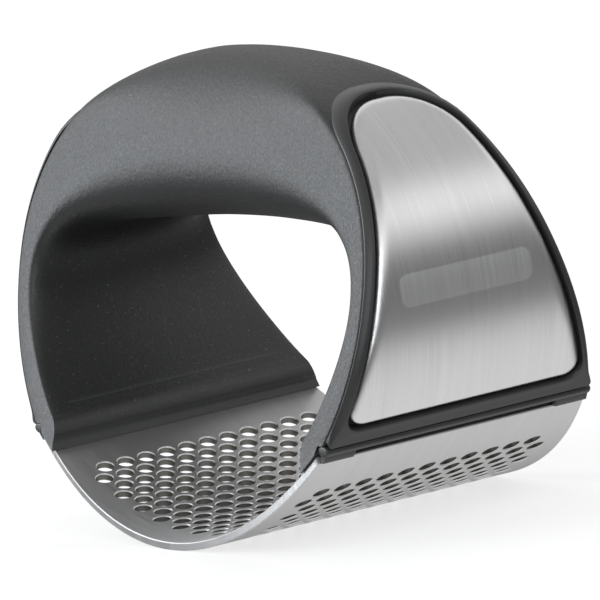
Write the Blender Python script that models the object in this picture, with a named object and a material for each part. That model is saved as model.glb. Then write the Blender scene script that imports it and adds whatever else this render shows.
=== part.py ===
"""Rocking garlic press: a curved, perforated steel plate held between the feet of an arch-shaped handle.

The handle is a hard core inside a textured grip. On each flank a smooth frame is screwed to the core
and carries a pressed steel panel, and a strip runs along each edge of the plate. Nothing moves.
The part stands upright on the middle of its plate: Z is up, the arch spans X, and Y is the plate's axis.
Everything is symmetric about X = 0 and Y = 0. Lengths are in metres.
"""

import math

import bmesh
import bpy
from mathutils import Vector
from mathutils.geometry import delaunay_2d_cdt

MM = 0.001

# Clearances
FIT_GAP = 0.3 * MM  # between two pieces that touch on the real object
PANEL_GROOVE = 0.4 * MM  # visible groove round a steel panel

# Arch, seen from the front. The outer curve is the edge where the grip meets the flank frames.
ARCH_HALF_WIDTH = 58.5 * MM
HEIGHT = 72.2 * MM
WIDEST_HEIGHT = 39.0 * MM
CROWN_EXPONENT = 2.2  # superellipse from the widest height to the crown
LEG_THICKNESS = 5.3 * MM
CROWN_THICKNESS = 25.7 * MM
FOOT_HALF_DEPTH = 22.8 * MM  # half the depth along Y at the strips
CROWN_HALF_DEPTH = 7.2 * MM  # the same at the full height, where the front and back faces would meet it
FOOT_INNER_HALF_WIDTH = 42.2 * MM
FOOT_TRIM_HEIGHT = 16.8 * MM  # where the inner face of a foot starts to be cut back to the plate

# Roundness of the arch's sections: superellipse exponents, and the turns along the arch, in degrees,
# between which each one changes. The turn is 0 at the widest height and 90 degrees at the crown.
LEG_EXPONENT = 14.0
CROWN_OUTER_EXPONENT = 2.5
CROWN_INNER_EXPONENT = 2.4
OUTER_ROUNDING_TURN = (44.0, 90.0)
INNER_ROUNDING_TURN = (2.0, 34.0)
SWELL_START_TURN = 4.0
SWELL_EXPONENT = 0.8

# Perforated plate, a piece of a cylinder about an axis along Y
PLATE_RADIUS = 83.0 * MM  # outer face
PLATE_THICKNESS = 1.2 * MM
PLATE_EDGE_ANGLE = math.radians(34.3)
PLATE_HALF_LENGTH = 26.4 * MM  # at the lowest line
PLATE_END_BOW = 3.9 * MM  # how much further the ends reach at the lowest line than at the edges
REST_HALF_WIDTH = 1.6 * MM  # flat strip that the press stands on
HOLE_PITCH = 3.6 * MM
HOLE_DIAMETER = 2.7 * MM
FIELD_SIDE_MARGIN = 11.2 * MM
FIELD_END_MARGIN = 4.2 * MM

# Grip and core
GRIP_WALL = 1.4 * MM

# Flank frames, steel panels and what is under them
FRAME_PROUD = 1.4 * MM
FRAME_EDGE_SETBACK = 0.2 * MM
FRAME_EDGE_RISE = 0.4 * MM  # how far the frame stands up at its very edge
FRAME_BEVEL = 1.4 * MM  # width of the slope from that edge to the frame's full height
FRAME_RIM = 0.75 * MM  # lip that laps over the grip round its window
FRAME_TOP_DROP = 6.0 * MM
FRAME_TOP_RADIUS = 7.6 * MM
FRAME_BOTTOM_RADIUS = 0.8 * MM
PANEL_THICKNESS = 0.8 * MM
PANEL_SIDE_MARGIN = 1.9 * MM
PANEL_TOP_DROP = 8.2 * MM
PANEL_BOTTOM_MARGIN = 2.2 * MM  # from the frame's bottom edge
PANEL_TOP_RADIUS = 5.8 * MM
PANEL_BOTTOM_RADIUS = 3.2 * MM
PAD_THICKNESS = 0.3 * MM
PAD_INSET = 1.5 * MM
SCREW_HEAD_DIAMETER = 3.4 * MM
SCREW_HEAD_HEIGHT = 0.5 * MM
SCREW_SHANK_DIAMETER = 1.6 * MM
SCREW_POSITIONS = (0.12, 0.5, 0.86)  # along the panel, from its bottom edge to its top edge

# Edge strips
STRIP_HALF_WIDTH = 1.55 * MM
STRIP_HALF_HEIGHT = 0.85 * MM
STRIP_END_SETBACK = 0.4 * MM
TAB_LENGTH = 5.2 * MM
TAB_DROP = 0.95 * MM
TAB_THICKNESS = 1.2 * MM
TAB_ROOT = (-0.2, 0.6)  # where a tab joins its strip, as shares of the strip's half width

# Fineness of the faceted solids
ARCH_STATIONS = 34
SECTION_POINTS = 16
PANEL_ROWS = 15
HOLE_SIDES = 6
ROUND_SIDES = 10
STRIP_SIDES = 12
FOOT_ARC_STEPS = 4
PLAIN_MARGIN_START = 0.6  # rows of holes past the last one, where lines are drawn across the plate
FLAT_MERGE_DISTANCE = 1e-7
CUT_OVERRUN = 5.0 * MM
FOOT_ALLOWANCE = math.radians(11)
SHARP_EDGE_ANGLE = math.radians(35)

# Worked out from the sizes above
PLATE_INNER_RADIUS = PLATE_RADIUS - PLATE_THICKNESS
FRAME_BACK = -GRIP_WALL
WINDOW_FLOOR = -GRIP_WALL - 2 * FIT_GAP  # right through the skin
RECESS_DEPTH = PANEL_THICKNESS + PAD_THICKNESS + 2 * FIT_GAP
RECESS_FLOOR = FRAME_PROUD - RECESS_DEPTH
SCREW_TIP = GRIP_WALL + FIT_GAP - LEG_THICKNESS  # just short of the grip's wall inside a leg
ROW_PITCH = HOLE_PITCH * math.sqrt(3) / 2


def clear_scene():
    for obj in list(bpy.data.objects):
        bpy.data.objects.remove(obj, do_unlink=True)


def make_material(name, colour, roughness, metallic=0.0):
    material = bpy.data.materials.new(name)
    material.use_nodes = True
    shader = material.node_tree.nodes["Principled BSDF"]
    shader.inputs["Base Color"].default_value = (*colour, 1.0)
    shader.inputs["Roughness"].default_value = roughness
    shader.inputs["Metallic"].default_value = metallic
    return material


def smooth_step(value, start, end):
    share = min(1.0, max(0.0, (value - start) / (end - start)))
    return share * share * (3 - 2 * share)


def add_object(name, mesh, material=None, smooth=False):
    obj = bpy.data.objects.new(name, mesh)
    bpy.context.scene.collection.objects.link(obj)
    if material:
        mesh.materials.append(material)
    if smooth:
        mesh.shade_smooth()
        mesh.set_sharp_from_angle(angle=SHARP_EDGE_ANGLE)
    return obj


def mesh_from(name, points, faces):
    """A mesh of these points and faces, turned so that its faces point out."""
    mesh = bpy.data.meshes.new(name)
    mesh.from_pydata(points, [], faces)
    work = bmesh.new()
    work.from_mesh(mesh)
    bmesh.ops.recalc_face_normals(work, faces=work.faces)
    work.to_mesh(mesh)
    work.free()
    return mesh


def make_cutter(name, mesh):
    cutter = add_object(name, mesh)
    cutter.hide_render = True
    cutter.display_type = "WIRE"
    return cutter


def add_boolean(obj, other, operation="DIFFERENCE"):
    modifier = obj.modifiers.new(f"{operation.lower()}_{other.name}", "BOOLEAN")
    modifier.operation = operation
    modifier.solver = "EXACT"
    modifier.object = other


def loft(name, rings):
    """A closed solid through rings of equal length, with a flat cap on the first and the last."""
    count = len(rings[0])
    points = [point for ring in rings for point in ring]
    faces = [tuple(range(count)), tuple(range(len(points) - count, len(points)))]
    for start in range(0, len(points) - count, count):
        for index in range(count):
            after = (index + 1) % count
            faces.append((start + index, start + after, start + count + after, start + count + index))
    return mesh_from(name, points, faces)


def extrude_along_y(name, outline, y_start, y_end):
    """A prism with this (x, z) outline."""
    return loft(name, [[Vector((x, y, z)) for x, z in outline] for y in (y_start, y_end)])


# ---- Where the plate's edge lies, and the strip that covers it ----


def plate_point(angle, radius=PLATE_RADIUS):
    """(x, z) on a circle about the plate's axis, with the angle taken from straight down."""
    return radius * math.sin(angle), PLATE_RADIUS - radius * math.cos(angle)


def strip_centre():
    x, z = plate_point(PLATE_EDGE_ANGLE, PLATE_RADIUS - PLATE_THICKNESS / 2)
    step = STRIP_HALF_WIDTH + 2 * FIT_GAP
    return x + step * math.cos(PLATE_EDGE_ANGLE), z + step * math.sin(PLATE_EDGE_ANGLE)


STRIP_X, STRIP_Z = strip_centre()
FRAME_BOTTOM_HEIGHT = STRIP_Z + STRIP_HALF_HEIGHT + FIT_GAP
FRAME_TOP_HEIGHT = HEIGHT - FRAME_TOP_DROP
PANEL_BOTTOM_HEIGHT = FRAME_BOTTOM_HEIGHT + PANEL_BOTTOM_MARGIN
PANEL_TOP_HEIGHT = HEIGHT - PANEL_TOP_DROP


# ---- The arch's outer curve and cross-sections ----

CROWN_RISE = HEIGHT - WIDEST_HEIGHT
LEG_DROP = (WIDEST_HEIGHT - STRIP_Z) / math.sqrt(1 - (STRIP_X / ARCH_HALF_WIDTH) ** 2)
FOOT_PARAMETER = -math.acos(STRIP_X / ARCH_HALF_WIDTH)
ARCH_START = FOOT_PARAMETER - FOOT_ALLOWANCE  # below the feet, which are cut to the plate afterwards


def outer_point(parameter):
    """(x, z) on the right half of the outer curve: 0 at the widest height, 90 degrees at the crown."""
    cosine, sine = math.cos(parameter), math.sin(parameter)
    if parameter < 0:
        return ARCH_HALF_WIDTH * cosine, WIDEST_HEIGHT + LEG_DROP * sine
    power = 2 / CROWN_EXPONENT
    return ARCH_HALF_WIDTH * max(cosine, 0.0) ** power, WIDEST_HEIGHT + CROWN_RISE * sine**power


def outer_normal(parameter):
    if parameter >= math.pi / 2:
        return 0.0, 1.0
    x, z = outer_point(parameter)
    power = 2.0 if parameter < 0 else CROWN_EXPONENT
    rise = LEG_DROP if parameter < 0 else CROWN_RISE
    up = (z - WIDEST_HEIGHT) / rise
    normal_x = (x / ARCH_HALF_WIDTH) ** (power - 1) / ARCH_HALF_WIDTH
    normal_z = math.copysign(abs(up) ** (power - 1), up) / rise
    length = math.hypot(normal_x, normal_z)
    return normal_x / length, normal_z / length


def parameter_at(height):
    """The outer curve's parameter at this height."""
    if height < WIDEST_HEIGHT:
        return -math.asin((WIDEST_HEIGHT - height) / LEG_DROP)
    return math.asin(((height - WIDEST_HEIGHT) / CROWN_RISE) ** (CROWN_EXPONENT / 2))


def half_depth(height):
    """Half the arch's depth along Y. Its front and back faces lean towards each other."""
    share = (height - STRIP_Z) / (HEIGHT - STRIP_Z)
    return FOOT_HALF_DEPTH + (CROWN_HALF_DEPTH - FOOT_HALF_DEPTH) * share


def arch_thickness(parameter):
    """Legs of even thickness that swell into the crown."""
    start = math.sin(math.radians(SWELL_START_TURN))
    share = max(0.0, (math.sin(parameter) - start) / (1 - start))
    return LEG_THICKNESS + (CROWN_THICKNESS - LEG_THICKNESS) * share**SWELL_EXPONENT


def section_exponent(crown_exponent, parameter, turns):
    """Superellipse exponent of a section: square in the legs and round in the crown."""
    share = smooth_step(math.degrees(parameter), *turns)
    return 1 / (1 / LEG_EXPONENT + (1 / crown_exponent - 1 / LEG_EXPONENT) * share)


def arch_section(parameter, inset):
    """Ring of points round the arch at one place: a flat bar in the legs and an oval in the crown."""
    side = 1
    if parameter > math.pi / 2:
        parameter, side = math.pi - parameter, -1
    x, z = outer_point(parameter)
    normal_x, normal_z = outer_normal(parameter)
    thickness = arch_thickness(parameter) - 2 * inset
    outer_exponent = section_exponent(CROWN_OUTER_EXPONENT, parameter, OUTER_ROUNDING_TURN)
    inner_exponent = section_exponent(CROWN_INNER_EXPONENT, parameter, INNER_ROUNDING_TURN)
    ring = []
    for index in range(SECTION_POINTS):
        angle = 2 * math.pi * index / SECTION_POINTS
        power = 2 / (outer_exponent if math.sin(angle) > 0 else inner_exponent)
        across = math.copysign(abs(math.cos(angle)) ** power, math.cos(angle))
        through = math.copysign(abs(math.sin(angle)) ** power, math.sin(angle))
        depth = inset + thickness * (1 - through) / 2
        height = z - normal_z * depth
        y = across * (half_depth(height) - inset)
        ring.append(Vector((side * (x - normal_x * depth), y, height)))
    return ring


def arch_rings(inset):
    """Sections of the whole arch, from below one foot over the crown to below the other, set in all round."""
    step = (math.pi - 2 * ARCH_START) / ARCH_STATIONS
    return [arch_section(ARCH_START + step * index, inset) for index in range(ARCH_STATIONS + 1)]


# ---- Slabs that follow the flank: frames, panels, pads and their cutters ----


def corner_setback(distance, radius):
    """How far a round corner of this radius pulls an outline in, at a distance from the end edge."""
    if distance >= radius:
        return 0.0
    return radius - math.sqrt(radius**2 - (radius - distance) ** 2)


def flank_slab(name, side, bottom, top, margin, outer, inner, radii, bevel=0.0):
    """A slab along the flank between two heights, from offset inner to offset outer off the outer curve.

    margin is how far it stays inside the arch's depth, and radii are its bottom and top corners.
    With a bevel it slopes up from its sides and its top end.
    """
    start, end = parameter_at(bottom), parameter_at(top)
    shares = [(1 - math.cos(math.pi * row / PANEL_ROWS)) / 2 for row in range(PANEL_ROWS + 1)]
    parameters = [start + (end - start) * share for share in shares]
    along = [0.0]
    for before, after in zip(parameters, parameters[1:]):
        along.append(along[-1] + math.dist(outer_point(before), outer_point(after)))
    rings = []
    for parameter, distance in zip(parameters, along):
        x, z = outer_point(parameter)
        normal_x, normal_z = outer_normal(parameter)
        width = half_depth(z) - margin
        width -= corner_setback(distance, radii[0]) + corner_setback(along[-1] - distance, radii[1])
        corners = ((inner, -width), (outer, -width), (outer, width), (inner, width))
        if bevel:
            edge = FRAME_EDGE_RISE
            rise = edge + (outer - edge) * min(1.0, (along[-1] - distance) / bevel)
            flat = width - min(bevel, width / 2)
            slope = ((edge, -width), (rise, -flat), (rise, flat), (edge, width))
            corners = ((inner, -width), *slope, (inner, width))
        rings.append([Vector((side * (x + normal_x * off), y, z + normal_z * off)) for off, y in corners])
    return loft(name, rings)


def panel_slab(name, side, outer, inner, growth):
    """A slab with the steel panel's outline, grown by this much all round."""
    radii = (PANEL_BOTTOM_RADIUS + growth, PANEL_TOP_RADIUS + growth)
    bottom, top = PANEL_BOTTOM_HEIGHT - growth, PANEL_TOP_HEIGHT + growth
    return flank_slab(name, side, bottom, top, PANEL_SIDE_MARGIN - growth, outer, inner, radii)


def window_slab(name, side, outer, inner, growth):
    """A slab with the outline of the frame's back, which sits in a window of the grip."""
    bottom = FRAME_BOTTOM_HEIGHT + FRAME_RIM - growth
    top = FRAME_TOP_HEIGHT - FRAME_RIM + growth
    margin = FRAME_EDGE_SETBACK + FRAME_RIM - growth
    radii = (FRAME_BOTTOM_RADIUS + growth, FRAME_TOP_RADIUS - FRAME_RIM + growth)
    return flank_slab(name, side, bottom, top, margin, outer, inner, radii)


def turned_on_flank(name, side, parameter, profile):
    """A turned solid whose axis is the flank's normal. profile is (radius, offset) from outside inwards."""
    x, z = outer_point(parameter)
    normal_x, normal_z = outer_normal(parameter)
    base = Vector((side * x, 0, z))
    normal = Vector((side * normal_x, 0, normal_z))
    lengthwise = Vector((0, 1, 0))
    upwards = normal.cross(lengthwise)
    rings = []
    for radius, offset in profile:
        ring = []
        for index in range(ROUND_SIDES):
            angle = 2 * math.pi * index / ROUND_SIDES
            spoke = lengthwise * math.cos(angle) + upwards * math.sin(angle)
            ring.append(base + normal * offset + spoke * radius)
        rings.append(ring)
    return loft(name, rings)


def screw_parameters():
    start, end = parameter_at(PANEL_BOTTOM_HEIGHT), parameter_at(PANEL_TOP_HEIGHT)
    return [start + (end - start) * share for share in SCREW_POSITIONS]


# ---- Pieces ----


def foot_cutter(name, lift):
    """Everything below and between the feet: room for the plate, the strips and the open middle.

    With a lift it leaves a wall of that thickness under and beside what it cuts.
    """
    clear_radius = PLATE_INNER_RADIUS - FIT_GAP
    shelf = FRAME_BOTTOM_HEIGHT
    far = ARCH_HALF_WIDTH + 2 * CUT_OVERRUN
    inner_wall = STRIP_X - STRIP_HALF_WIDTH - FIT_GAP
    foot_inner = FOOT_INNER_HALF_WIDTH + lift
    inner_angle = math.asin(foot_inner / clear_radius)
    last_angle = math.asin((inner_wall - FIT_GAP) / clear_radius)
    right = [(foot_inner, FOOT_TRIM_HEIGHT)]
    for step in range(FOOT_ARC_STEPS + 1):
        angle = inner_angle + (last_angle - inner_angle) * step / FOOT_ARC_STEPS
        right.append(plate_point(angle, clear_radius))
    right += [(inner_wall, STRIP_Z), (inner_wall + 2 * FIT_GAP, shelf), (far, shelf), (far, -CUT_OVERRUN)]
    outline = [(x, z + lift) for x, z in right + [(-x, z) for x, z in reversed(right)]]
    reach = FOOT_HALF_DEPTH + 2 * CUT_OVERRUN
    return make_cutter(name, extrude_along_y(name, outline, -reach, reach))


def make_grip(material):
    """The textured grip: a skin all round the arch and under its feet, with a window in each flank."""
    grip = add_object("textured_grip", loft("textured_grip", arch_rings(0.0)), material, smooth=True)
    inside = make_cutter("grip_inside", loft("grip_inside", arch_rings(GRIP_WALL)))
    add_boolean(inside, foot_cutter("inside_feet", GRIP_WALL))
    add_boolean(grip, inside)
    for label, side in (("right", 1), ("left", -1)):
        window = window_slab(f"window_{label}", side, FRAME_PROUD, WINDOW_FLOOR, FIT_GAP)
        add_boolean(grip, make_cutter(f"window_{label}", window))
    add_boolean(grip, foot_cutter("grip_feet", 0.0))


def make_core(material):
    """The hard arch inside the grip, with a pilot hole for each screw."""
    mesh = loft("handle_core", arch_rings(GRIP_WALL + FIT_GAP))
    core = add_object("handle_core", mesh, material, smooth=True)
    hole = SCREW_SHANK_DIAMETER / 2 + FIT_GAP
    for label, side in (("right", 1), ("left", -1)):
        for number, parameter in enumerate(screw_parameters(), 1):
            profile = ((hole, 0.0), (hole, SCREW_TIP - FIT_GAP))
            mesh = turned_on_flank("pilot", side, parameter, profile)
            add_boolean(core, make_cutter(f"pilot_{label}_{number}", mesh))
    add_boolean(core, foot_cutter("core_feet", GRIP_WALL + FIT_GAP))


def make_frame(label, side, material):
    """A flank frame: a proud flange on a back that fills the grip's window, with a recess for the panel."""
    flange_inner = FIT_GAP
    flange = flank_slab(
        f"flank_frame_{label}", side, FRAME_BOTTOM_HEIGHT, FRAME_TOP_HEIGHT, FRAME_EDGE_SETBACK,
        FRAME_PROUD, flange_inner, (FRAME_BOTTOM_RADIUS, FRAME_TOP_RADIUS), FRAME_BEVEL,
    )  # fmt: skip
    frame = add_object(f"flank_frame_{label}", flange, material, smooth=True)
    back = window_slab(f"frame_back_{label}", side, (flange_inner + FRAME_PROUD) / 2, FRAME_BACK, 0.0)
    add_boolean(frame, make_cutter(f"frame_back_{label}", back), "UNION")
    recess = panel_slab(f"recess_{label}", side, 2 * FRAME_PROUD, RECESS_FLOOR, PANEL_GROOVE)
    add_boolean(frame, make_cutter(f"recess_{label}", recess))
    head = SCREW_HEAD_DIAMETER / 2 + FIT_GAP
    hole = SCREW_SHANK_DIAMETER / 2 + FIT_GAP
    seat = RECESS_FLOOR - SCREW_HEAD_HEIGHT - FIT_GAP
    for number, parameter in enumerate(screw_parameters(), 1):
        profile = ((head, RECESS_FLOOR + FIT_GAP), (head, seat), (hole, seat), (hole, 2 * FRAME_BACK))
        mesh = turned_on_flank("screw_seat", side, parameter, profile)
        add_boolean(frame, make_cutter(f"screw_seat_{label}_{number}", mesh))


def make_panels(label, side, steel, adhesive):
    """The steel panel and the adhesive pad that holds it in its recess."""
    panel = panel_slab(f"steel_panel_{label}", side, FRAME_PROUD, FRAME_PROUD - PANEL_THICKNESS, 0.0)
    add_object(f"steel_panel_{label}", panel, steel, smooth=True)
    pad_top = FRAME_PROUD - PANEL_THICKNESS - FIT_GAP
    pad = panel_slab(f"adhesive_pad_{label}", side, pad_top, pad_top - PAD_THICKNESS, -PAD_INSET)
    add_object(f"adhesive_pad_{label}", pad, adhesive)


def make_screws(label, side, material):
    """The identical screws that hold a frame to the core, hidden under its panel."""
    head, shank = SCREW_HEAD_DIAMETER / 2, SCREW_SHANK_DIAMETER / 2
    head_top = RECESS_FLOOR - FIT_GAP
    head_under = head_top - SCREW_HEAD_HEIGHT + FIT_GAP
    profile = ((head, head_top), (head, head_under), (shank, head_under), (shank, SCREW_TIP))
    for number, parameter in enumerate(screw_parameters(), 1):
        name = f"frame_screw_{label}_{number}"
        add_object(name, turned_on_flank(name, side, parameter, profile), material, smooth=True)


def make_strip(label, side, material):
    """A lens-shaped strip along the plate's edge, with a tab at each end that laps over the plate."""
    outline = []
    for index in range(STRIP_SIDES):
        angle = 2 * math.pi * index / STRIP_SIDES
        x = STRIP_X + STRIP_HALF_WIDTH * math.cos(angle)
        outline.append((x, STRIP_Z + STRIP_HALF_HEIGHT * math.sin(angle)))
    end = FOOT_HALF_DEPTH - STRIP_END_SETBACK
    mesh = extrude_along_y(f"edge_strip_{label}", [(side * x, z) for x, z in outline], -end, end)
    strip = add_object(f"edge_strip_{label}", mesh, material, smooth=True)
    low = STRIP_Z - STRIP_HALF_HEIGHT - TAB_DROP
    clear_radius = PLATE_RADIUS + FIT_GAP
    low_x = math.sqrt(clear_radius**2 - (PLATE_RADIUS - low) ** 2)
    root_inner, root_outer = (STRIP_X + STRIP_HALF_WIDTH * share for share in TAB_ROOT)
    tab = [(low_x, low), (low_x + TAB_THICKNESS, low), (root_outer, STRIP_Z), (root_inner, STRIP_Z)]
    for name, direction in (("front", -1), ("back", 1)):
        span = sorted((direction * (end - FIT_GAP), direction * (end - TAB_LENGTH)))
        block = extrude_along_y(f"tab_{label}_{name}", [(side * x, z) for x, z in tab], *span)
        add_boolean(strip, make_cutter(f"tab_{label}_{name}", block), "UNION")


def plate_half_length(angle):
    return PLATE_HALF_LENGTH - PLATE_END_BOW * (angle / PLATE_EDGE_ANGLE) ** 2


def hole_centres():
    """(arc, y) of each hole, staggered row by row, with a hole at the middle of the plate."""
    edge_arc = PLATE_EDGE_ANGLE * PLATE_INNER_RADIUS
    rows = math.floor((edge_arc - FIELD_SIDE_MARGIN) / ROW_PITCH)
    last_row_angle = rows * ROW_PITCH / PLATE_INNER_RADIUS
    half_steps = math.floor(2 * (plate_half_length(last_row_angle) - FIELD_END_MARGIN) / HOLE_PITCH)
    centres = []
    for row in range(-rows, rows + 1):
        for step in range(-half_steps, half_steps + 1):
            if (step - row) % 2 == 0:
                centres.append((row * ROW_PITCH, step * HOLE_PITCH / 2))
    return rows, centres


def plate_outline():
    """Points and edges of the plate laid flat: its outline, lines across its plain margins, and its holes."""
    edge_arc = PLATE_EDGE_ANGLE * PLATE_INNER_RADIUS
    rows, centres = hole_centres()
    steps = math.ceil(edge_arc / ROW_PITCH)
    arcs = [edge_arc * (step / steps) for step in range(-steps, steps + 1)]
    lengths = [plate_half_length(arc / PLATE_INNER_RADIUS) for arc in arcs]
    points = list(zip(arcs, [-length for length in lengths])) + list(zip(arcs[::-1], lengths[::-1]))
    count = len(points)
    edges = [(index, (index + 1) % count) for index in range(count)]
    field_arc = (rows + PLAIN_MARGIN_START) * ROW_PITCH
    for index in range(1, len(arcs) - 1):
        if abs(arcs[index]) > field_arc:
            edges.append((index, count - 1 - index))
    for arc, y in centres:
        start = len(points)
        for corner in range(HOLE_SIDES):
            angle = 2 * math.pi * (corner + 0.5) / HOLE_SIDES
            radius = HOLE_DIAMETER / 2
            points.append((arc + radius * math.cos(angle), y + radius * math.sin(angle)))
            edges.append((start + corner, start + (corner + 1) % HOLE_SIDES))
    return points, edges, centres


def rolled(arc, y, radius):
    """A point of the flat outline, rolled up to this radius. The lowest strip is left flat."""
    angle = arc / PLATE_INNER_RADIUS
    x, z = plate_point(angle, radius)
    if abs(arc) < REST_HALF_WIDTH:
        z = PLATE_RADIUS - radius
    return Vector((x, y, z))


def make_plate(material):
    """The perforated plate: laid flat it is divided into triangles, which are then rolled up."""
    points, edges, centres = plate_outline()
    flat_points = [Vector(point) for point in points]
    flat = delaunay_2d_cdt(flat_points, edges, [], 1, FLAT_MERGE_DISTANCE, False)
    corners, triangles = flat[0], flat[2]
    limit = (HOLE_DIAMETER / 2) ** 2  # a triangle whose middle is nearer to a hole's centre is left out
    kept = []
    for triangle in triangles:
        middle = sum((corners[index] for index in triangle), Vector((0, 0))) / 3
        if all((middle.x - arc) ** 2 + (middle.y - y) ** 2 > limit for arc, y in centres):
            kept.append(tuple(triangle))
    count = len(corners)
    vertices = [rolled(*corner, PLATE_RADIUS) for corner in corners]
    vertices += [rolled(*corner, PLATE_INNER_RADIUS) for corner in corners]
    faces = list(kept) + [tuple(count + index for index in reversed(face)) for face in kept]
    used = {}
    for face in kept:
        for first, second in zip(face, face[1:] + face[:1]):
            key = (min(first, second), max(first, second))
            used.setdefault(key, []).append((first, second))
    for directions in used.values():
        if len(directions) == 1:
            first, second = directions[0]
            faces.append((second, first, count + first, count + second))
    add_object("crushing_plate", mesh_from("crushing_plate", vertices, faces), material)


def main():
    clear_scene()
    steel = make_material("brushed_steel", (0.62, 0.62, 0.61), 0.32, 1.0)
    plate_steel = make_material("plate_steel", (0.55, 0.55, 0.56), 0.36, 1.0)
    textured = make_material("textured_black", (0.045, 0.046, 0.05), 0.62)
    smooth_black = make_material("smooth_black", (0.028, 0.028, 0.03), 0.38)
    core_black = make_material("core_black", (0.02, 0.02, 0.02), 0.5)
    adhesive = make_material("adhesive_film", (0.75, 0.74, 0.7), 0.7)
    zinc = make_material("zinc_screw", (0.6, 0.6, 0.62), 0.4, 1.0)
    make_grip(textured)
    make_core(core_black)
    for label, side in (("right", 1), ("left", -1)):
        make_frame(label, side, smooth_black)
        make_panels(label, side, steel, adhesive)
        make_screws(label, side, zinc)
        make_strip(label, side, smooth_black)
    make_plate(plate_steel)


main()
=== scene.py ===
"""Looks of the rocking garlic press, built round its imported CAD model.

Finer pieces stand for the CAD solids that show: the textured grip, the flank frames, the steel panels,
the edge strips and the perforated plate. The hidden core, pads and screws stay as CAD nodes. Everything
rides on the one body, "root". Lengths are in metres, with Z up and the arch spanning X.
"""

import math

import bmesh
import bpy
from mathutils import Matrix, Vector
from mathutils.geometry import delaunay_2d_cdt


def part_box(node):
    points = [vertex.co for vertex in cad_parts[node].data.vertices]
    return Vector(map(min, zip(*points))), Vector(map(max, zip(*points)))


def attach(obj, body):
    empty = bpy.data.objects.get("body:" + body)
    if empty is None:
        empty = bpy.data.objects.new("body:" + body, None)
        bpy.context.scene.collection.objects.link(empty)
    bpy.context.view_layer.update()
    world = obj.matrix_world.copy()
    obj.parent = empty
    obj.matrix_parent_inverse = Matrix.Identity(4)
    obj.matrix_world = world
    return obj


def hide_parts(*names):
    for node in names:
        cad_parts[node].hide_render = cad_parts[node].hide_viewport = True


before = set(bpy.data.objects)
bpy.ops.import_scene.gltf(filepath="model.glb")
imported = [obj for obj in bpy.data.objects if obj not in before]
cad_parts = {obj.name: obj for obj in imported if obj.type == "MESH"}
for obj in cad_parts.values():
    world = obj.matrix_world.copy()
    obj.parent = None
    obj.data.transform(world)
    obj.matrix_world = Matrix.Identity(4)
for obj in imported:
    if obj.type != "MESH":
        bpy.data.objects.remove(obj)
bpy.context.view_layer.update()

MM = 0.001
BODY = "root"

# ---- Sizes: the frame's own where a CAD node gives them, and otherwise the design's values ----

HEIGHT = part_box("textured_grip")[1].z
ARCH_HALF_WIDTH = 58.5 * MM
WIDEST_HEIGHT = 39.0 * MM
CROWN_EXPONENT = 2.2
LEG_THICKNESS = 5.3 * MM
CROWN_THICKNESS = 25.7 * MM
FOOT_HALF_DEPTH = 22.8 * MM
CROWN_HALF_DEPTH = 7.2 * MM
FOOT_INNER_HALF_WIDTH = 42.2 * MM
FOOT_TRIM_HEIGHT = 16.8 * MM
FOOT_KNEE = 2.6 * MM  # size of the rounding at the foot's knee
FOOT_KNEE_STEPS = 8
LEG_EXPONENT = 22.0
CROWN_OUTER_EXPONENT = 2.5
CROWN_INNER_EXPONENT = 2.1
OUTER_ROUNDING_TURN = (44.0, 90.0)
INNER_ROUNDING_TURN = (-30.0, 28.0)
ROUNDING_BLEND = 6.0  # degrees either side of the outer rounding's start over which the flank follows it
SWELL_START_TURN = 4.0
SWELL_EXPONENT = 0.8
SWELL_BLEND_TURN = 16.0  # degrees of arch over which the swell is evened out
SWELL_FADE_TURN = 0.8  # radians before the crown over which the evening out shrinks to nothing
SWELL_SAMPLES = 9  # on each side of the place that is evened out
GRIP_WALL = 1.4 * MM

PLATE_RADIUS = 83.0 * MM
PLATE_THICKNESS = 1.2 * MM
PLATE_INNER_RADIUS = PLATE_RADIUS - PLATE_THICKNESS
PLATE_EDGE_ANGLE = math.radians(34.3)
PLATE_HALF_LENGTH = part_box("crushing_plate")[1].y
PLATE_END_BOW = 3.9 * MM
PLATE_EDGE_BREAK = 0.14 * MM
HOLE_PITCH = 3.6 * MM
ROW_PITCH = HOLE_PITCH * math.sqrt(3) / 2
HOLE_RADIUS = 1.35 * MM
HOLE_RIM_RADIUS = 1.5 * MM
HOLE_RIM_DEPTH = 0.16 * MM
HOLE_SIDES = 24
FIELD_SIDE_MARGIN = 11.2 * MM
FIELD_END_MARGIN = 4.2 * MM
PLATE_OUTLINE_STEPS = 44
PLAIN_MARGIN_START = 0.6  # rows beyond the last one, from where the plate is plain
FLAT_MERGE_DISTANCE = 1e-5  # in mm

STRIP_HALF_WIDTH = 1.55 * MM
STRIP_HALF_HEIGHT = 0.85 * MM
STRIP_HALF_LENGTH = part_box("edge_strip_right")[1].y
STRIP_END_ROUND = 0.3 * MM
STRIP_END_STEPS = 6
STRIP_SIDES = 40
TAB_LENGTH = 5.2 * MM
TAB_DROP = 0.95 * MM
TAB_THICKNESS = 1.2 * MM
TAB_TIP_SHARE = 0.8  # how much of the tab's thickness its flat lower edge takes
TAB_TIP_RISE = 0.2 * MM  # how much higher its outer corner is
TAB_ROOT = (0.6, -0.2)  # where it joins the strip, in shares of the strip's half width
TAB_SETBACK = 0.1 * MM
TAB_SLANT = 0.5 * MM  # how much longer the tab is where it joins the strip
FIT_GAP = 0.3 * MM
TOUCH = 0.05 * MM  # how closely the finer pieces meet

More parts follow.
